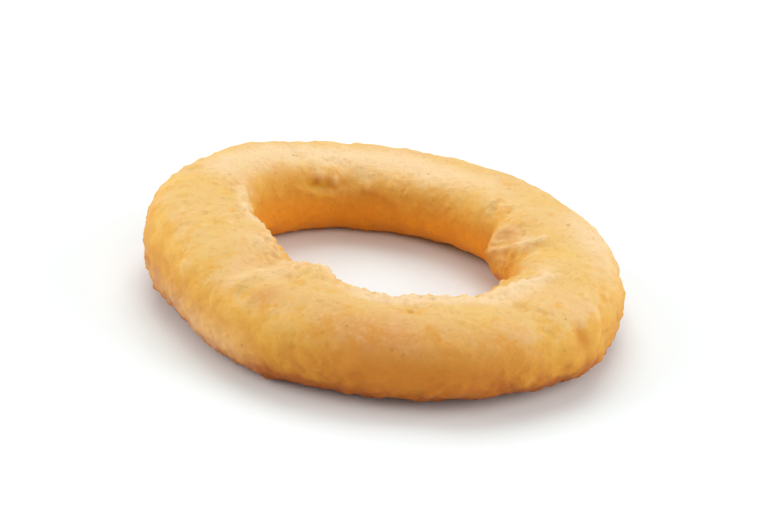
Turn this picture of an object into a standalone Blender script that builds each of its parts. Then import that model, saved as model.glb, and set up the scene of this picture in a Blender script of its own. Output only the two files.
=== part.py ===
"""A battered onion ring: one closed solid that lies flat on the surface it is served on.

Metres, +Z up. The origin is under the middle of the ring, on the surface that it rests on.
A place on the ring has two angles. The turn runs round the ring, seen from above: 0 is +X and 90
is +Y. The climb runs round the tube of batter: 0 faces out, 90 is the top, 180 faces the hole.
"""

import math
from collections import namedtuple

import bmesh
import bpy

# The ring and its tube of batter, which is wider than it is tall.
RING_WIDTH = 0.069
TUBE_WIDTH = 0.0161
TUBE_HEIGHT = 0.0130
CENTRE_RADIUS = (RING_WIDTH - TUBE_WIDTH) / 2
TUBE_RADIUS = (TUBE_WIDTH + TUBE_HEIGHT) / 4
FULLNESS = 2.3  # exponent of the tube's outline: 2 is an ellipse, more is squarer

# The onion slice is not a true circle, and the ring sits on three broad feet.
OVAL = 0.058  # share by which the long axis passes the mean radius
OVAL_TURN = math.radians(139)
PRESSED = 0.0005  # depth of the flat that the feet are pressed to
ARCH = 0.0010  # how far the ring lifts between two feet
FEET = 3
FOOT_TURN = math.radians(226)

# The faces: steps round the ring and round the tube.
RING_STEPS = 144
TUBE_STEPS = 34

# Slow swelling and thinning of the tube: waves round the ring, share of its radius, start angle.
Wave = namedtuple("Wave", "count share start")
WIDTH_WAVES = (
    Wave(1, 0.140, math.radians(285)),
    Wave(2, 0.028, math.radians(200)),
    Wave(3, 0.045, math.radians(203)),
    Wave(7, 0.012, math.radians(75)),
)
HEIGHT_WAVES = (
    Wave(1, 0.110, math.radians(191)),
    Wave(2, 0.055, math.radians(182)),
    Wave(9, 0.012, math.radians(130)),
)

# Lumps stand out of the batter and hollows go into it: where, how long each way and how high.
# The length is along the ring and the girth round the tube, both to about where the form fades.
Lump = namedtuple("Lump", "turn climb length girth height")
LUMPS = (
    # The fold of batter that juts into the hole, and the creases on both sides of it.
    Lump(16, 162, 0.0038, 0.0052, 0.0027),
    Lump(30, 138, 0.0014, 0.0070, -0.0012),
    Lump(40, 130, 0.0024, 0.0060, 0.0008),
    Lump(51, 120, 0.0015, 0.0052, -0.0007),
    Lump(-4, 128, 0.0015, 0.0050, -0.0007),
    Lump(-16, 115, 0.0030, 0.0045, 0.0005),
    # The thick lump on the hole's near edge, and the shallow valley that runs out beside it.
    Lump(242, 142, 0.0040, 0.0044, 0.0016),
    Lump(224, 95, 0.0022, 0.0085, -0.0010),
    Lump(207, 128, 0.0045, 0.0048, 0.0008),
    # The small dent on the top, with the nubs beside it.
    Lump(110, 142, 0.0030, 0.0014, -0.0010),
    Lump(112, 122, 0.0024, 0.0016, 0.0006),
    Lump(92, 152, 0.0024, 0.0020, 0.0007),
    # The flat stretch, the corner and the bulges of the outer side.
    Lump(212, 350, 0.0100, 0.0070, -0.0009),
    Lump(232, 330, 0.0060, 0.0045, 0.0006),
    Lump(184, 15, 0.0080, 0.0060, 0.0004),
    Lump(324, 348, 0.0040, 0.0050, 0.0006),
    Lump(338, 12, 0.0022, 0.0040, -0.0006),
    Lump(300, 35, 0.0055, 0.0060, 0.0004),
    Lump(278, 20, 0.0050, 0.0065, -0.0003),
    Lump(131, 10, 0.0070, 0.0060, 0.0003),
    Lump(62, 5, 0.0060, 0.0055, -0.0005),
)

BATTER_COLOUR = (0.82, 0.47, 0.14, 1.0)
BATTER_ROUGHNESS = 0.55


def clear_scene():
    """Remove every object that the file opened with."""
    for old in list(bpy.data.objects):
        bpy.data.objects.remove(old, do_unlink=True)


def batter_material():
    """Matt golden fried batter."""
    material = bpy.data.materials.new("fried_batter")
    material.use_nodes = True
    shader = material.node_tree.nodes["Principled BSDF"]
    shader.inputs["Base Color"].default_value = BATTER_COLOUR
    shader.inputs["Roughness"].default_value = BATTER_ROUGHNESS
    shader.inputs["Metallic"].default_value = 0.0
    return material


def swell(turn, waves):
    """Share by which the waves change a size at this turn round the ring."""
    return 1 + sum(w.share * math.cos(w.count * (turn - w.start)) for w in waves)


def angle_between(first, second):
    """The signed difference of two angles, from minus a half turn to a half turn."""
    return (first - second + math.pi) % (2 * math.pi) - math.pi


def lump_height(turn, climb):
    """How far all the lumps and hollows together move the surface out at one place."""
    total = 0.0
    for lump in LUMPS:
        along = angle_between(turn, math.radians(lump.turn)) * CENTRE_RADIUS / lump.length
        around = angle_between(climb, math.radians(lump.climb)) * TUBE_RADIUS / lump.girth
        total += lump.height * math.exp(-along * along - around * around)
    return total


def surface_point(turn, climb):
    """One point of the ring's surface, before its feet are pressed flat."""
    across, up = math.cos(climb), math.sin(climb)
    reach = (abs(across) ** FULLNESS + abs(up) ** FULLNESS) ** (-1 / FULLNESS)
    half_width = TUBE_WIDTH / 2 * swell(turn, WIDTH_WAVES) * reach
    half_height = TUBE_HEIGHT / 2 * swell(turn, HEIGHT_WAVES) * reach
    lump = lump_height(turn, climb)
    radius = CENTRE_RADIUS * (1 + OVAL * math.cos(2 * (turn - OVAL_TURN)))
    radius += (half_width + lump) * across
    arch = ARCH * (0.5 - 0.5 * math.cos(FEET * (turn - FOOT_TURN)))
    foot = TUBE_HEIGHT / 2 * swell(turn, HEIGHT_WAVES) - PRESSED
    height = foot + arch + (half_height + lump) * up
    return radius * math.cos(turn), radius * math.sin(turn), height


def shape_ring(mesh):
    """Move each point of a plain torus to its place on the battered ring."""
    for vertex in mesh.vertices:
        x, y, z = vertex.co
        turn = math.atan2(y, x)
        climb = math.atan2(z, math.hypot(x, y) - CENTRE_RADIUS)
        vertex.co = surface_point(turn, climb)


def press_feet(mesh):
    """Flatten what would reach below the resting surface."""
    for vertex in mesh.vertices:
        vertex.co.z = max(vertex.co.z, 0.0)


def centre_over_origin(mesh):
    """Bring the middle of the ring's outline over the origin."""
    for axis in (0, 1):
        places = [vertex.co[axis] for vertex in mesh.vertices]
        middle = (min(places) + max(places)) / 2
        for vertex in mesh.vertices:
            vertex.co[axis] -= middle


def make_ring(collection):
    """The battered onion ring, from a torus primitive."""
    bpy.ops.mesh.primitive_torus_add(
        major_segments=RING_STEPS,
        minor_segments=TUBE_STEPS,
        major_radius=CENTRE_RADIUS,
        minor_radius=TUBE_RADIUS,
    )
    ring = bpy.context.object
    ring.name = "onion_ring"
    shape_ring(ring.data)
    press_feet(ring.data)
    centre_over_origin(ring.data)
    work = bmesh.new()
    work.from_mesh(ring.data)
    bmesh.ops.triangulate(work, faces=work.faces[:])
    work.to_mesh(ring.data)
    work.free()
    ring.data.shade_smooth()
    ring.data.materials.append(batter_material())
    for holder in list(ring.users_collection):
        holder.objects.unlink(ring)
    collection.objects.link(ring)
    return ring


def main():
    clear_scene()
    parts = bpy.data.collections.new("onion_ring_parts")
    bpy.context.scene.collection.children.link(parts)
    make_ring(parts)


main()
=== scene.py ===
"""Looks of the battered onion ring: its crust, its finish, the floor, the lights and the camera.

A place on the ring has two angles, as in the part. The turn runs round the ring, seen from above:
0 is +X and 90 is +Y. The climb runs round the tube: 0 faces out, 90 is the top, 180 the hole.
"""

import math
from collections import namedtuple

import bpy
import numpy as np
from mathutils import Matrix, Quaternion, Vector, kdtree, noise
from mathutils.bvhtree import BVHTree


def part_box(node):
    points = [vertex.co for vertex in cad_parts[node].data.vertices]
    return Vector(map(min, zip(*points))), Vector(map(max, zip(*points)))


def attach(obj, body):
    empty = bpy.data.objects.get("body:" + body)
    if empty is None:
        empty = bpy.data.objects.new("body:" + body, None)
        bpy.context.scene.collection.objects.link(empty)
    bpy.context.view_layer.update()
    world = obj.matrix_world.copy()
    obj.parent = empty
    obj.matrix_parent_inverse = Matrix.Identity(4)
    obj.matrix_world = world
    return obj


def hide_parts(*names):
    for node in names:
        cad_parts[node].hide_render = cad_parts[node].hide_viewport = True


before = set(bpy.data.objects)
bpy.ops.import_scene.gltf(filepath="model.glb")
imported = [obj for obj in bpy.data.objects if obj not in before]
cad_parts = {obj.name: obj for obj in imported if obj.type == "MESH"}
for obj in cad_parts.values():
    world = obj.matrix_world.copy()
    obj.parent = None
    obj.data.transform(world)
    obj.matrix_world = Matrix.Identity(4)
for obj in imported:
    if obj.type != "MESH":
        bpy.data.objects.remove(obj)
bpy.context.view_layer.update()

MM = 0.001
NODE = "onion_ring"
BODY = "root"
SEED = 7

# The crust's faces: steps round the ring and round the tube, about 0.3 mm each.
RING_STEPS = 560
TUBE_STEPS = 170
SMOOTHING = 12  # passes that take the part's flat faces out of the crust
DAB_SMOOTHING = 150  # passes that even out the directions that the dabs go in
RELIEF_SMOOTHING = 1  # passes that soften the relief
RING_RADIUS, TUBE_RADIUS = 26.5, 7.3  # to unroll the angles into millimetres
MAP_GAP = 0.01  # the empty edge of a quarter's map, as a share of that map

# Layers of noise: how wide their forms are and how far they stand out, both in millimetres, how
# many octaves they have, and where in the noise they start.
Layer = namedtuple("Layer", "size height octaves start")
SWELL = Layer(6.0, 0.34, 2, 11.3)
STREAKS = Layer(1.0, 0.13, 2, 41.7)  # its size is in streak widths
BILLOWS = Layer(2.2, 0.44, 3, 23.9)
PEBBLES = Layer(1.1, 0.25, 2, 77.7)
GRAIN = Layer(0.65, 0.15, 3, 61.2)
ROUGH_AREAS = Layer(8.0, 1.0, 2, 5.1)  # its height is a roughness
OCTAVE_FALL = 0.9  # exponent by which an octave is weaker than the last one
OCTAVE_GAP = 2.0  # how much finer it is than the last one
STREAK_WIDTH = 2.2  # in millimetres
STREAK_LEAN = 0.6  # how far the noise of the streaks is turned round the tube, in radians

# How much of a fine layer there is on calm batter and, added to that, on rough batter.
BILLOW_SHARES = 0.30, 1.0
PEBBLE_SHARES = 0.8, 0.6
GRAIN_SHARES = 0.5, 1.0

# Two bands of rough batter run round the ring, each at a climb and on the tube's opposite side.
UPPER_BAND, UPPER_BAND_SHARE = math.radians(115), 0.6
LOWER_BAND, LOWER_BAND_SHARE = math.radians(-25), 0.5
BAND_SHARPNESS = 4
ROUGH_FROM, ROUGH_TO = -0.25, 0.85  # the batter is smooth below this sum of noise and bands
FOLD_FROM, FOLD_TO = 0.08, 0.25  # and it gets rough on folds between these heights
ROUGHEST = 1.5

# The far side is smoother: what its wall to the hole and its top lack.
WALL_LACKS_ROUGHNESS, TOP_LACKS_ROUGHNESS = 0.8, 0.4
WALL_CALM, TOP_CALM = 0.6, 0.6

# Round bumps, or pits where the steepness is below zero: how many, their smallest and largest
# radius in millimetres, and how steep they and the rims round them are.
Domes = namedtuple("Domes", "count small large steepness rim")
BLISTERS = Domes(150, 1.6, 3.4, 0.05, 0.0)
BUBBLES = Domes(2600, 0.35, 1.0, 0.26, 0.0)
CRUMBS = Domes(800, 0.45, 0.80, 0.38, 0.0)
PITS = Domes(480, 0.3, 0.8, -0.34, 0.08)
DOME_REACH = 1.5  # in radii, with the rim
RIM_WIDTH = 0.22  # in radii
SMOOTH_BUBBLES, SMOOTH_PITS = 0.10, 0.3  # how thick they are where the batter isn't rough

# Soft patches: their middle, how far they reach round the ring and round the tube in millimetres,
# and their strength.
Patch = namedtuple("Patch", "turn climb along around strength")

# Dabs of batter and dents in it. Their strength is a height in millimetres.
DABS = (
    # Above the upper lap the far side runs in smoothly, so the part's folds are levelled there.
    Patch(17, 143, 3.7, 2.2, -1.0),
    Patch(28, 178, 3.2, 2.8, -0.9),
    Patch(16, 120, 3.8, 2.6, -0.6),
    Patch(32.5, 138, 1.6, 7.0, 0.9),
    Patch(40, 130, 2.4, 6.0, -0.75),
    Patch(51, 120, 1.5, 5.2, 0.62),
    # The tongue between the laps, and the valley on it.
    Patch(10, 186, 3.2, 2.6, 0.8),
    Patch(3, 134, 3.0, 3.0, 0.60),
    Patch(345, 145, 3.4, 3.4, -0.6),
    # The dent on top, moved down from where the part has it, and the nubs beside it.
    Patch(110, 142, 3.0, 1.4, 0.80),
    Patch(112, 122, 2.4, 1.6, -0.45),
    Patch(119, 157, 1.9, 0.9, -0.7),
    Patch(112, 151, 1.0, 0.8, 0.35),
    Patch(118, 143, 1.1, 0.6, 0.25),
    Patch(99, 154, 1.6, 0.9, 0.30),
    # The browned dimple on the outer side.
    Patch(323, 25, 1.0, 2.6, -0.22),
    # Two small nubs on the top.
    Patch(172, 75, 0.7, 0.6, 0.22),
    Patch(232, 76, 1.6, 1.1, 0.25),
)

# Places that are rougher than the rest or, below zero, smoother.
CRUMBLY = (
    # The edge of the hole, from its left end by the near side to the tongue.
    Patch(186, 136, 14.0, 3.2, 1.2),
    Patch(243, 130, 6.0, 2.6, 0.8),
    Patch(292, 114, 24.0, 1.6, 0.9),
    Patch(10, 172, 4.5, 4.5, 0.5),
    Patch(328, 116, 4.0, 2.0, 0.2),
    # Above the upper lap, and on the outer side's upper part.
    Patch(25, 142, 4.0, 3.5, -1.0),
    Patch(266, 50, 14.0, 4.5, -1.0),
    Patch(222, 75, 6.0, 4.0, -0.4),
)

# Darker spots: painted shade in the dent on top, and the browned dimple on the outer side.
DENT_SHADE_AND_STAINS = (
    Patch(119, 157, 2.2, 1.1, 0.6),
    Patch(323, 25, 0.9, 2.2, 0.15),
)

# Places painted paler than the rest as painted light or, below zero, a deeper gold as painted shade.
PAINTED_LIGHT_AND_SHADE_PATCHES = (
    # The crown of the ring, a painted highlight.
    Patch(82, 108, 22.0, 3.4, 0.9),
    Patch(130, 106, 12.0, 3.4, 0.6),
    Patch(8, 58, 9.0, 3.5, 0.8),
    Patch(312, 100, 5.0, 3.0, 0.4),
    Patch(232, 78, 2.2, 1.8, 0.6),
    Patch(212, 112, 3.0, 3.0, 0.5),
    # Painted highlights on the nubs beside the dent.
    Patch(118, 143, 1.4, 0.8, 0.3),
    Patch(112, 151, 1.2, 0.9, 0.2),
    Patch(99, 154, 1.8, 1.0, 0.2),
    # Painted highlights on the rim of the hole's near side, and of its left end.
    Patch(266, 107, 7.0, 1.5, 0.9),
    Patch(292, 110, 8.0, 1.6, 1.0),
    Patch(316, 116, 5.0, 1.8, 1.0),
    Patch(333, 104, 5.0, 1.4, 0.9),
    Patch(243, 130, 4.0, 1.5, 0.8),
    Patch(186, 134, 12.0, 1.5, 0.8),
    # Painted highlights on the tongue and the upper lap.
    Patch(20, 160, 1.6, 1.2, 0.6),
    Patch(6, 132, 2.6, 1.6, 0.65),
    Patch(12, 150, 2.2, 1.2, 0.2),
    # Painted light on the ring's left end and on the outer side, where it also takes back some of the
    # painted shade underneath.
    Patch(155, 96, 6.0, 4.0, 0.5),
    Patch(212, -20, 16.0, 3.4, 0.40),
    Patch(352, 25, 4.0, 4.0, 0.2),
    Patch(234, 0, 9.0, 5.0, 0.20),
    # Deeper gold: painted shade on the near side, in the valley and in the hollow above the upper lap,
    # and the dimple's own browning.
    Patch(268, 48, 10.0, 4.5, -0.6),
    Patch(300, 40, 6.0, 4.0, -0.4),
    Patch(277, -8, 13.0, 4.0, -1.0),
    Patch(236, 55, 3.0, 3.0, -0.5),
    Patch(350, 148, 4.0, 3.0, -0.3),
    Patch(323, 25, 1.0, 2.2, -0.9),
    Patch(20, 144, 3.2, 3.0, -0.45),
)

# The tube's side to the hole is amber, as painted shade for the deep colour that light bounced round
# inside
# the hole takes: the climbs where that starts, is full, fades and ends. The tongue is on that side too
# and gets less of it.
AMBER_STARTS, AMBER_IS_FULL = 143, 200
AMBER_FADES, AMBER_ENDS = 250, 300
TONGUE = Patch(12, 176, 4.2, 4.5, 0.85)

# Laps and creases: a path of turns and climbs, a width, the height of a ridge along it, and that
# of a step across it, in millimetres. A step above zero raises the side that is on the path's
# left, seen from outside the batter, and lowers the other. Below zero it is the other way round.
Crease = namedtuple("Crease", "path width ridge step")
CREASES = (
    # The two laps that run out from the hole's right end, over the top of the tube.
    Crease(
        ((24, 190), (21, 172), (14, 160), (9, 150), (5, 135), (4, 122), (5, 107), (8, 88), (10, 72)),
        width=0.55, ridge=0.45, step=-0.38,
    ),
    Crease(
        ((306, 134), (316, 124), (321, 119), (326, 116), (331, 110), (336, 100), (340, 88), (345, 74)),
        width=0.7, ridge=0.36, step=-0.75,
    ),
    # The groove and the rib beside the browned dimple.
    Crease(((335, 60), (334, 40), (331, 22), (329, 6)), 0.8, -0.24, 0.0),
    Crease(((342, 56), (340, 38), (337, 22), (334, 8)), 0.9, 0.28, 0.0),
    # The crease between the tube's left part and the lump on the hole's near edge.
    Crease(((224, 40), (229, 60), (231, 80), (236, 100), (241, 116)), 1.0, 0.10, 0.45),
    Crease(((246, 80), (252, 75), (258, 72)), 0.5, 0.20, 0.0),
    # The crumbly left edge of the hole, with short wrinkles.
    Crease(((156, 134), (175, 132), (192, 130), (212, 130)), 0.8, 0.32, 0.0),
    Crease(((184, 108), (192, 114), (199, 121)), 0.40, 0.14, 0.0),
    Crease(((191, 100), (199, 106), (207, 114)), 0.40, 0.14, 0.0),
    Crease(((176, 112), (184, 119), (190, 126)), 0.35, 0.12, 0.0),
    # The rim of the hole's near side.
    Crease(((250, 116), (266, 110), (282, 112), (298, 116), (312, 124)), 0.8, 0.30, 0.0),
    # The lower edge of the dent on top.
    Crease(((130, 161), (123, 166), (116, 170)), 0.5, 0.25, 0.0),
)
PATH_STEPS, PATH_SMOOTHING = 60, 40  # places on a path, and passes that round its corners
FADE_IN, FADE_OUT = 0.2, 0.65  # shares of a path where its form is whole, and where it fades


def smoothstep(low, high, value):
    """0 up to low, 1 from high on and a smooth change between them, whichever is the larger."""
    share = np.clip((value - low) / (high - low), 0.0, 1.0)
    return share * share * (3.0 - 2.0 * share)


# ---------------------------------------------------------------------------------- the bare ring


def tube_section(surface, turn, low, high):
    """Middle of the tube's section at one turn, the way out, and half its width and height."""
    beyond = high.x * 2
    out = Vector((math.cos(turn), math.sin(turn), 0.0))
    level = Vector((0.0, 0.0, (low.z + high.z) / 2))
    outer = surface.ray_cast(out * beyond + level, -out)[0].xy.length
    inner = surface.ray_cast(level, out)[0].xy.length
    middle = out * (outer + inner) / 2
    top = surface.ray_cast(middle + Vector((0, 0, beyond)), Vector((0, 0, -1)))[0].z
    under = surface.ray_cast(middle - Vector((0, 0, beyond)), Vector((0, 0, 1)))[0].z
    middle.z = (top + under) / 2
    return middle, out, (outer - inner) / 2, (top - under) / 2


def wrapped_points(node):
    """Points on the part's surface, by steps round the ring and round the tube."""
    surface = BVHTree.FromObject(node, bpy.context.evaluated_depsgraph_get())
    low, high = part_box(NODE)
    points = np.empty((RING_STEPS, TUBE_STEPS, 3))
    for i in range(RING_STEPS):
        turn = 2 * math.pi * i / RING_STEPS
        middle, out, half_width, half_height = tube_section(surface, turn, low, high)
        for j in range(TUBE_STEPS):
            climb = 2 * math.pi * j / TUBE_STEPS
            ray = out * (half_width * math.cos(climb))
            ray.z = half_height * math.sin(climb)
            points[i, j] = surface.ray_cast(middle, ray.normalized())[0]
    return points


def smoothed(values, passes):
    """Values on the ring of points, each moved towards its four neighbours a few times."""
    for _ in range(passes):
        ring_side = np.roll(values, 1, 0) + np.roll(values, -1, 0)
        tube_side = np.roll(values, 1, 1) + np.roll(values, -1, 1)
        values = (2 * values + ring_side + tube_side) / 6
    return values


def unit(vectors):
    """The vectors, each brought to a length of one."""
    return vectors / np.linalg.norm(vectors, axis=2, keepdims=True)


def outward(points):
    """Unit normals of the ring of points."""
    along = np.roll(points, -1, 0) - np.roll(points, 1, 0)
    around = np.roll(points, -1, 1) - np.roll(points, 1, 1)
    return unit(np.cross(along, around))


def face_areas(points):
    """The area of the face beside every point."""
    along, around = np.roll(points, -1, 0) - points, np.roll(points, -1, 1) - points
    return np.linalg.norm(np.cross(along, around), axis=2)


# ------------------------------------------------------------------- patches, laps and creases


def angles():
    """The turn and the climb of every point of the crust."""
    turn = 2 * math.pi * np.arange(RING_STEPS) / RING_STEPS
    climb = 2 * math.pi * np.arange(TUBE_STEPS) / TUBE_STEPS
    return np.meshgrid(turn, climb, indexing="ij")


def unrolled(turn, climb, at_turn, at_climb):
    """Millimetres round the ring and round the tube, from one place to every point."""
    half = math.pi
    along = (turn - math.radians(at_turn) + half) % (2 * half) - half
    around = (climb - math.radians(at_climb) + half) % (2 * half) - half
    return along * RING_RADIUS, around * TUBE_RADIUS


def patch_share(patch, turn, climb):
    """How much of a patch there is at every point: one at its middle, none far from it."""
    along, around = unrolled(turn, climb, patch.turn, patch.climb)
    return np.exp(-((along / patch.along) ** 2) - (around / patch.around) ** 2)


def sum_of(patches):
    """What the patches of a list add up to at every point."""
    turn, climb = angles()
    return sum(patch.strength * patch_share(patch, turn, climb) for patch in patches)


def rounded_path(crease):
    """The crease's path with rounded corners, in millimetres from its first place."""
    turns = np.unwrap([turn for turn, _ in crease.path], period=360)
    climbs = [climb for _, climb in crease.path]
    stops = [
        unrolled(math.radians(turn), math.radians(climb), *crease.path[0])
        for turn, climb in zip(turns, climbs)
    ]
    numbers = np.arange(len(stops))
    between = np.linspace(0, len(stops) - 1, PATH_STEPS)
    path = np.stack([np.interp(between, numbers, axis) for axis in np.array(stops).T], axis=-1)
    for _ in range(PATH_SMOOTHING):
        path[1:-1] = (path[:-2] + 2 * path[1:-1] + path[2:]) / 4
    return path


def crease_height(crease, turn, climb):
    """Height of one crease at every point, from the nearest place on its path."""
    path = rounded_path(crease)
    heading = np.gradient(path, axis=0)
    heading /= np.linalg.norm(heading, axis=1, keepdims=True)
    here = np.stack(unrolled(turn, climb, *crease.path[0]), axis=-1)
    near = np.full(turn.shape, np.inf)
    height = np.zeros(turn.shape)
    for place, ahead, share in zip(path, heading, np.linspace(0, 1, len(path))):
        offset = here - place
        distance = np.hypot(offset[..., 0], offset[..., 1])
        left = (ahead[0] * offset[..., 1] - ahead[1] * offset[..., 0]) / crease.width
        across = distance / crease.width
        taper = smoothstep(0.0, FADE_IN, share) * smoothstep(1.0, FADE_OUT, share)
        ridge = crease.ridge * np.exp(-(across**2))
        profile = ridge + crease.step * left * np.exp(-0.5 * across**2)
        nearer = distance < near
        near = np.where(nearer, distance, near)
        height = np.where(nearer, taper * profile, height)
    return height


# ----------------------------------------------------------------------------------- the relief


def sampled(points, layer, value_at):
    """The values of a noise at points in millimetres, with the layer's size and start."""
    shift = Vector((layer.start, 2 * layer.start, 3 * layer.start))
    flat = points.reshape(-1, 3) / layer.size
    values = [value_at(Vector(point) + shift) for point in flat]
    return np.array(values).reshape(points.shape[:-1])


def fractal_at(points, layer):
    """Soft noise, from about minus one to one."""
    return sampled(
        points, layer, lambda place: noise.fractal(place, OCTAVE_FALL, OCTAVE_GAP, layer.octaves)
    )


def billows_at(points, layer):
    """Rounded bumps with sharp creases between them, about as much below zero as above."""
    values = sampled(points, layer, lambda place: noise.turbulence(place, layer.octaves, True))
    return values - values.mean()


def streaks_at(points, turn, climb):
    """Soft ribs that run round the tube, as batter does when it drips off it."""
    radius = np.hypot(points[..., 0], points[..., 1]).mean(1, keepdims=True)
    across = radius * np.cos(turn) / STREAK_WIDTH, radius * np.sin(turn) / STREAK_WIDTH
    return fractal_at(np.stack([*across, np.sin(climb + STREAK_LEAN)], axis=-1), STREAKS)


def far_side(turn, climb):
    """How much every point is on the far side's wall to the hole, and on the far side's top."""
    far = smoothstep(0.0, 0.5, np.sin(turn))
    wall = far * smoothstep(0.45, 0.8, -np.cos(climb))
    return wall, far * np.clip(np.sin(climb), 0, 1)


def rough_bands(turn, climb):
    """The two bands of rough batter. The upper one fades out towards the far side."""
    near = 0.5 - 0.5 * np.sin(turn)
    upper = UPPER_BAND_SHARE * (near * np.cos(climb - UPPER_BAND) ** BAND_SHARPNESS)
    return upper, LOWER_BAND_SHARE * np.cos(climb - LOWER_BAND) ** BAND_SHARPNESS


def roughness(points, folds, turn, climb):
    """How rough the batter is at every point, from smooth, 0, to ROUGHEST."""
    upper, lower = rough_bands(turn, climb)
    areas = ROUGH_AREAS.height * fractal_at(points, ROUGH_AREAS)
    rough = smoothstep(ROUGH_FROM, ROUGH_TO, areas + upper + lower)
    rough += smoothstep(FOLD_FROM, FOLD_TO, folds) + sum_of(CRUMBLY)
    wall, top = far_side(turn, climb)
    rough = np.clip(rough, 0, ROUGHEST)
    return rough * (1 - WALL_LACKS_ROUGHNESS * wall) * (1 - TOP_LACKS_ROUGHNESS * top)


def add_layers(relief, points, rough, turn, climb):
    """Add every layer of noise to the relief."""
    wall, top = far_side(turn, climb)
    calm = 1 - WALL_CALM * np.maximum(wall, TOP_CALM * top)
    relief += SWELL.height * fractal_at(points, SWELL)
    relief += STREAKS.height * calm * streaks_at(points, turn, climb)
    for layer, shares, noise_at in (
        (BILLOWS, BILLOW_SHARES, billows_at),
        (PEBBLES, PEBBLE_SHARES, billows_at),
        (GRAIN, GRAIN_SHARES, fractal_at),
    ):
        relief += layer.height * (shares[0] * calm + shares[1] * rough) * noise_at(points, layer)


def add_domes(heights, tree, flat, domes, density, chance):
    """Raise domes or sink pits, most of them small, and most of them where the density is high."""
    weights = density.ravel() / density.sum()
    seeds = chance.choice(weights.size, size=domes.count, replace=False, p=weights)
    radii = domes.small + (domes.large - domes.small) * chance.random(domes.count) ** 2
    for seed, radius in zip(seeds, radii):
        for _, number, distance in tree.find_range(flat[seed], radius * DOME_REACH):
            share = distance / radius
            bowl = (1 - share * share) ** 2 if share < 1 else 0.0
            rim = domes.rim * math.exp(-(((share - 1.0) / RIM_WIDTH) ** 2))
            heights[number] += radius * (domes.steepness * bowl + rim)


def batter_relief(points, chance):
    """Height of the batter over the bare ring, in millimetres, without the dabs."""
    turn, climb = angles()
    relief = sum(crease_height(crease, turn, climb) for crease in CREASES)
    rough = roughness(points, relief, turn, climb)
    add_layers(relief, points, rough, turn, climb)

    flat = points.reshape(-1, 3)
    tree = kdtree.KDTree(len(flat))
    for number, point in enumerate(flat):
        tree.insert(point, number)
    tree.balance()
    heights = relief.ravel()
    area = face_areas(points)
    crumbly = np.clip(sum_of(CRUMBLY), 0, 1) + rough_bands(turn, climb)[1]
    add_domes(heights, tree, flat, BLISTERS, area, chance)
    add_domes(heights, tree, flat, BUBBLES, area * (SMOOTH_BUBBLES + rough), chance)
    add_domes(heights, tree, flat, CRUMBS, area * crumbly**2, chance)
    add_domes(heights, tree, flat, PITS, area * (SMOOTH_PITS + rough), chance)
    return smoothed(heights.reshape(turn.shape), RELIEF_SMOOTHING)


# ------------------------------------------------------------------------------------- the crust


def ring_mesh(name, points):
    """A closed mesh through the ring of points, which are in millimetres."""
    numbers = np.arange(RING_STEPS * TUBE_STEPS).reshape(RING_STEPS, TUBE_STEPS)
    beside = np.roll(numbers, -1, 0)
    faces = [numbers, beside, np.roll(beside, -1, 1), np.roll(numbers, -1, 1)]
    faces = np.stack(faces, axis=-1).reshape(-1, 4)
    mesh = bpy.data.meshes.new(name)
    mesh.from_pydata((points * MM).reshape(-1, 3).tolist(), [], faces.tolist())
    mesh.update()
    mesh.shade_smooth()
    return mesh


def map_in_quarters(mesh):
    """Lay the ring out as four quarters in a square, so that a map drawn on it is even."""
    turn, climb = np.divmod(np.arange(RING_STEPS * TUBE_STEPS), TUBE_STEPS)
    steps = RING_STEPS // 4
    quarter = turn // steps
    corners = np.array([(0, 0), (1, 0), (1, 1), (0, 1)])
    across = ((turn % steps)[:, None] + corners[:, 0]) / steps
    up = (climb[:, None] + corners[:, 1]) / TUBE_STEPS
    across = (across * (1 - 2 * MAP_GAP) + MAP_GAP + (quarter % 2)[:, None]) / 2
    up = (up * (1 - 2 * MAP_GAP) + MAP_GAP + (quarter // 2)[:, None]) / 2
    layer = mesh.uv_layers.new(name="OFBake")
    layer.data.foreach_set("uv", np.stack([across, up], axis=-1).astype(np.float32).ravel())


def mark(mesh, name, values):
    """Keep one number for each point on the mesh, for its material to read."""
    attribute = mesh.attributes.new(name, "FLOAT", "POINT")
    attribute.data.foreach_set("value", np.asarray(values, dtype=np.float32).ravel())


def painted_hole_shade():
    """How much every point gets of the painted shade on the tube's amber side to the hole."""
    climb = np.degrees(angles()[1])
    rise = smoothstep(AMBER_STARTS, AMBER_IS_FULL, climb)
    return rise * smoothstep(AMBER_ENDS, AMBER_FADES, climb) * (1 - sum_of([TONGUE]))


def make_crust(node, material, chance):
    """The crust: the part's own shape with the dabs and the batter's relief on it."""
    bare = smoothed(wrapped_points(node), SMOOTHING) / MM
    shaped = bare + unit(smoothed(outward(bare), DAB_SMOOTHING)) * sum_of(DABS)[..., None]
    facing = outward(shaped)
    relief = batter_relief(bare, chance)
    points = shaped + facing * relief[..., None]
    points[..., 2] = np.maximum(points[..., 2], 0.0)

    mesh = ring_mesh("crust", points)
    crust = bpy.data.objects.new("crust", mesh)
    bpy.context.scene.collection.objects.link(crust)
    mark(mesh, "relief", relief)
    # The facing sets the painted light and shade in the batter's colour.
    mark(mesh, "upward", facing[..., 2])
    # Painted shade on the tube's side to the hole.
    mark(mesh, "painted_hole_shade", painted_hole_shade())
    # Painted shade in the dent, with the browned dimple.
    mark(mesh, "dent_shade_and_stain", np.clip(sum_of(DENT_SHADE_AND_STAINS), 0, 1))
    # Painted light on the pale patches, painted shade on the deeper gold ones.
    mark(mesh, "pale", np.clip(sum_of(PAINTED_LIGHT_AND_SHADE_PATCHES), -1, 1))
    map_in_quarters(mesh)
    mesh.materials.append(material)
    return crust


# ---------------------------------------------------------------------------------- the finish

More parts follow.
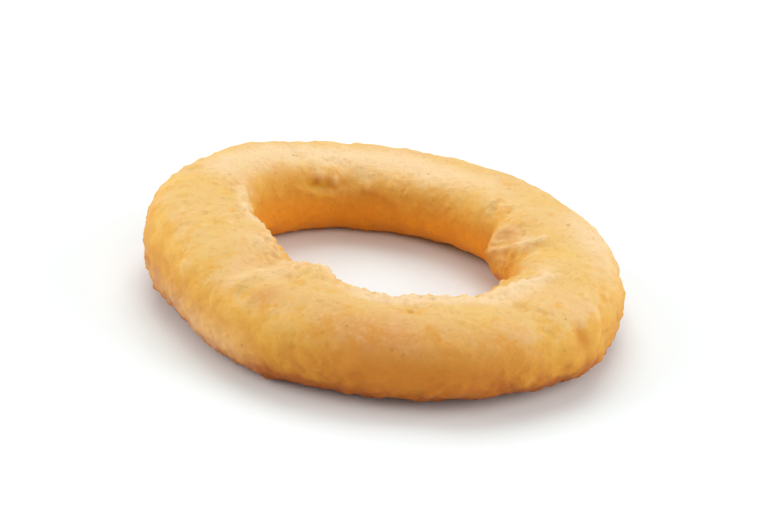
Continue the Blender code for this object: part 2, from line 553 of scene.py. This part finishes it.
# Colours of the batter by how far it faces up, from straight down, 0, to straight up, 1: painted light
# and shade, pale on top as a painted highlight and brown underneath as painted shade.
BATTER_COLOURS_WITH_PAINTED_SHADE = (
    (0.00, (0.38, 0.085, 0.005)),
    (0.27, (0.47, 0.125, 0.007)),
    (0.46, (0.67, 0.285, 0.026)),
    (0.70, (0.76, 0.380, 0.052)),
    (0.86, (0.80, 0.440, 0.085)),
    (0.96, (0.80, 0.515, 0.180)),
)
# The colour of painted highlights.
HIGHLIGHT_CREAM = (0.90, 0.67, 0.39, 1.0)
PEACH = (0.85, 0.54, 0.26, 1.0)
YELLOW = (0.82, 0.52, 0.12, 1.0)
# Deeper gold: painted shade from the gold patches, and the batter's own darker flecks.
GOLD = (0.60, 0.185, 0.010, 1.0)
# The colour of the painted shade on the tube's side to the hole.
AMBER = (0.92, 0.31, 0.002, 1.0)
# The colour of the painted shade in the relief's valleys.
VALLEY_SHADE_OLIVE = (0.62, 0.32, 0.022, 1.0)
# Painted shade in the dent, and the dimple's own browning.
BROWNED_AND_DENT_SHADE = (0.72, 0.42, 0.012, 1.0)
SPECK = (0.36, 0.15, 0.030, 1.0)

# How wide the forms of the finish are, in metres.
BROAD_SIZE, CLOUD_SIZE, FINE_SIZE, SPECK_SIZE = 0.0095, 0.0030, 0.0008, 0.0013
GRIT_SIZE, CELL_SIZE = 0.00042, 0.0009
CLOUD_TILT = 0.26  # how much further up or down a cloud makes the batter seem to face
CELL_DEPTH = 0.45  # the cells' share in the bump
BUMP_STRENGTH, BUMP_DEPTH = 0.9, 0.00025


class Nodes:
    """Short calls for a material's nodes."""

    def __init__(self, name):
        self.material = bpy.data.materials.new(name)
        self.material.use_nodes = True
        self.tree = self.material.node_tree
        self.shader = self.tree.nodes["Principled BSDF"]

    def set(self, socket, value):
        """Link an output to a socket, or give the socket a plain value."""
        if isinstance(value, bpy.types.NodeSocket):
            self.tree.links.new(value, socket)
        else:
            socket.default_value = value

    def add(self, kind, inputs=None, **settings):
        """A node with its settings and inputs."""
        node = self.tree.nodes.new(kind)
        for name, value in settings.items():
            setattr(node, name, value)
        for name, value in (inputs or {}).items():
            self.set(node.inputs[name], value)
        return node

    def attribute(self, name):
        """A number that is kept for each point of the mesh."""
        return self.add("ShaderNodeAttribute", attribute_name=name).outputs["Fac"]

    def noise(self, where, size, detail, roughness, distortion=0.0):
        """Noise whose forms are about size metres wide."""
        inputs = {
            "Vector": where,
            "Scale": 1 / size,
            "Detail": detail,
            "Roughness": roughness,
            "Distortion": distortion,
        }
        return self.add("ShaderNodeTexNoise", inputs).outputs["Fac"]

    def span(self, value, low, high, to_low=0.0, to_high=1.0, linear=False):
        """The value, with the stretch from low to high brought to another one."""
        inputs = {
            "Value": value,
            "From Min": low,
            "From Max": high,
            "To Min": to_low,
            "To Max": to_high,
        }
        kind = "LINEAR" if linear else "SMOOTHSTEP"
        return self.add("ShaderNodeMapRange", inputs, interpolation_type=kind).outputs[0]

    def math(self, operation, first, second):
        """Two numbers added, subtracted or multiplied."""
        node = self.add("ShaderNodeMath", operation=operation)
        self.set(node.inputs[0], first)
        self.set(node.inputs[1], second)
        return node.outputs[0]

    def times(self, first, second):
        """Two numbers multiplied."""
        return self.math("MULTIPLY", first, second)

    def mix(self, share, first, second):
        """A colour between two colours."""
        node = self.add("ShaderNodeMix", data_type="RGBA")
        self.set(node.inputs[0], share)
        self.set(node.inputs[6], first)
        self.set(node.inputs[7], second)
        return node.outputs[2]

    def ramp(self, value, colours):
        """The colour of a value from 0 to 1, by places and colours in order."""
        node = self.add("ShaderNodeValToRGB", {"Fac": value})
        stops = node.color_ramp.elements
        while len(stops) < len(colours):
            stops.new(0.5)
        for stop, (place, colour) in zip(stops, colours):
            stop.position = place
            stop.color = (*colour, 1.0)
        return node.outputs["Color"]


def batter_colour(nodes, where, cloud):
    """Painted light and shade: cream where it faces up, amber in the hole and brown underneath,
    painted highlights on crests and painted shade in valleys and the dent, with the browned dimple,
    spots and flecks.
    """
    relief, upward = nodes.attribute("relief"), nodes.attribute("upward")
    hole, dent_shade_and_stain, pale = nodes.attribute("painted_hole_shade"), nodes.attribute("dent_shade_and_stain"), nodes.attribute("pale")
    broad = nodes.noise(where, BROAD_SIZE, 2.0, 0.5, 0.4)
    fine = nodes.noise(where, FINE_SIZE, 3.0, 0.6)
    speck = nodes.noise(where, SPECK_SIZE, 1.0, 0.4)
    top, crown = nodes.span(upward, 0.1, 0.9), nodes.span(upward, 0.45, 0.95)

    # The facing picks painted light and shade: a pale top and a brown underside.
    tilt = nodes.math("ADD", upward, nodes.span(cloud, 0.25, 0.75, -CLOUD_TILT, CLOUD_TILT))
    colour = nodes.ramp(nodes.span(tilt, -1.0, 1.0, linear=True), BATTER_COLOURS_WITH_PAINTED_SHADE)
    # Each tint, and its share, over all that came before it.
    tints = (
        # Painted shade in the hole.
        (AMBER, nodes.times(hole, 0.75)),
        (PEACH, nodes.times(nodes.span(broad, 0.50, 0.70, 0.0, 0.6), top)),
        (YELLOW, nodes.times(nodes.span(broad, 0.48, 0.30, 0.0, 0.6), top)),
        # Painted light from the pale patches and painted shade from the deeper gold ones.
        (HIGHLIGHT_CREAM, nodes.span(pale, 0.0, 1.0, 0.0, 0.8)),
        (GOLD, nodes.span(pale, 0.0, -1.0, 0.0, 0.8)),
        (PEACH, nodes.times(nodes.span(fine, 0.52, 0.75, 0.0, 0.40), crown)),
        (GOLD, nodes.span(fine, 0.48, 0.28, 0.0, 0.22)),
        # Painted shade in the relief's valleys.
        (VALLEY_SHADE_OLIVE, nodes.span(relief, -0.10, -0.50, 0.0, 0.5)),
        # Painted highlights on the crests of the relief where they face up.
        (HIGHLIGHT_CREAM, nodes.times(nodes.span(relief, 0.15, 0.65, 0.0, 0.45), top)),
        # Painted shade in the dent, and the browned dimple.
        (BROWNED_AND_DENT_SHADE, nodes.times(dent_shade_and_stain, 0.8)),
        (SPECK, nodes.span(speck, 0.75, 0.80, 0.0, 0.4)),
    )
    for tint, share in tints:
        colour = nodes.mix(share, colour, tint)
    return colour


def batter_bump(nodes, where):
    """The finest grain of the batter: grit, and small cells with grooves between them."""
    grit = nodes.noise(where, GRIT_SIZE, 4.0, 0.65)
    inputs = {"Vector": where, "Scale": 1 / CELL_SIZE}
    cells = nodes.add("ShaderNodeTexVoronoi", inputs, feature="SMOOTH_F1").outputs["Distance"]
    grain = nodes.math("SUBTRACT", grit, nodes.times(cells, CELL_DEPTH))
    inputs = {"Height": grain, "Strength": BUMP_STRENGTH, "Distance": BUMP_DEPTH}
    return nodes.add("ShaderNodeBump", inputs).outputs["Normal"]


def batter_material():
    """Golden fried batter, a little see-through and with a weak gloss."""
    nodes = Nodes("fried_batter")
    shader = nodes.shader
    where = nodes.add("ShaderNodeTexCoord").outputs["Object"]
    cloud = nodes.noise(where, CLOUD_SIZE, 3.0, 0.6, 0.3)
    nodes.set(shader.inputs["Base Color"], batter_colour(nodes, where, cloud))
    nodes.set(shader.inputs["Roughness"], nodes.span(cloud, 0.3, 0.7, 0.50, 0.70))
    nodes.set(shader.inputs["Normal"], batter_bump(nodes, where))
    shader.inputs["Specular IOR Level"].default_value = 0.30
    shader.inputs["Subsurface Weight"].default_value = 0.20
    shader.inputs["Subsurface Radius"].default_value = (1.0, 0.48, 0.16)
    shader.inputs["Subsurface Scale"].default_value = 0.0025
    return nodes.material


# ------------------------------------------------------------------- the floor, lights and camera

FLOOR_SIZE = 6.0
FLOOR_COLOUR = (0.89, 0.94, 0.945, 1.0)

# Soft square lights that face the ring. The first one is over it and behind it.
Light = namedtuple("Light", "name place watts")
LIGHTS = (
    Light("top_light", (-0.05, 0.38, 0.62), 3.2),
    Light("left_light", (-0.72, -0.05, 0.30), 3.45),
    Light("right_light", (0.72, -0.05, 0.30), 3.45),
    Light("front_light", (0.10, -0.60, 0.60), 1.2),
)
LIGHT_SIZE = 0.60
SKY_COLOUR, SKY_STRENGTH = (1.0, 1.0, 1.0, 1.0), 0.335

CAMERA_RISE = math.radians(26.5)  # above the floor
CAMERA_LEAN = math.radians(5.0)  # sideways, as if the ring leaned on another one
CAMERA_DISTANCE = 0.50
VIEW_WIDTH = 0.112  # across the picture, at the ring


def make_floor():
    """A plain pale floor."""
    bpy.ops.mesh.primitive_plane_add(size=FLOOR_SIZE, location=(0, 0, 0))
    floor = bpy.context.object
    floor.name = "floor"
    nodes = Nodes("floor")
    nodes.shader.inputs["Base Color"].default_value = FLOOR_COLOUR
    nodes.shader.inputs["Roughness"].default_value = 0.9
    nodes.shader.inputs["Specular IOR Level"].default_value = 0.1
    floor.data.materials.append(nodes.material)


def make_lights(centre):
    """The soft lights and a pale sky."""
    for light in LIGHTS:
        data = bpy.data.lights.new(light.name, "AREA")
        data.size = LIGHT_SIZE
        data.energy = light.watts
        lamp = bpy.data.objects.new(light.name, data)
        bpy.context.scene.collection.objects.link(lamp)
        lamp.location = light.place
        lamp.rotation_mode = "QUATERNION"
        lamp.rotation_quaternion = (centre - Vector(light.place)).to_track_quat("-Z", "Y")
    world = bpy.data.worlds.new("sky")
    world.use_nodes = True
    background = world.node_tree.nodes["Background"]
    background.inputs["Color"].default_value = SKY_COLOUR
    background.inputs["Strength"].default_value = SKY_STRENGTH
    bpy.context.scene.world = world


def make_camera(centre):
    """A camera that looks down on the ring from its near side."""
    data = bpy.data.cameras.new("camera")
    data.lens = data.sensor_width * CAMERA_DISTANCE / VIEW_WIDTH
    camera = bpy.data.objects.new("camera", data)
    bpy.context.scene.collection.objects.link(camera)
    back = Vector((0.0, -math.cos(CAMERA_RISE), math.sin(CAMERA_RISE)))
    lean = Quaternion((0.0, 0.0, 1.0), CAMERA_LEAN)
    camera.location = centre + back * CAMERA_DISTANCE
    camera.rotation_mode = "QUATERNION"
    camera.rotation_quaternion = (-back).to_track_quat("-Z", "Y") @ lean
    bpy.context.scene.camera = camera


def main():
    """Light the scene, and dress the part in its crust."""
    chance = np.random.default_rng(SEED)
    low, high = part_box(NODE)
    centre = (low + high) / 2
    make_camera(centre)
    make_lights(centre)
    make_floor()

    material = batter_material()
    crust = make_crust(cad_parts[NODE], material, chance)
    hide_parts(NODE)
    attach(crust, BODY)
    bpy.context.scene.view_settings.view_transform = "Standard"


main()
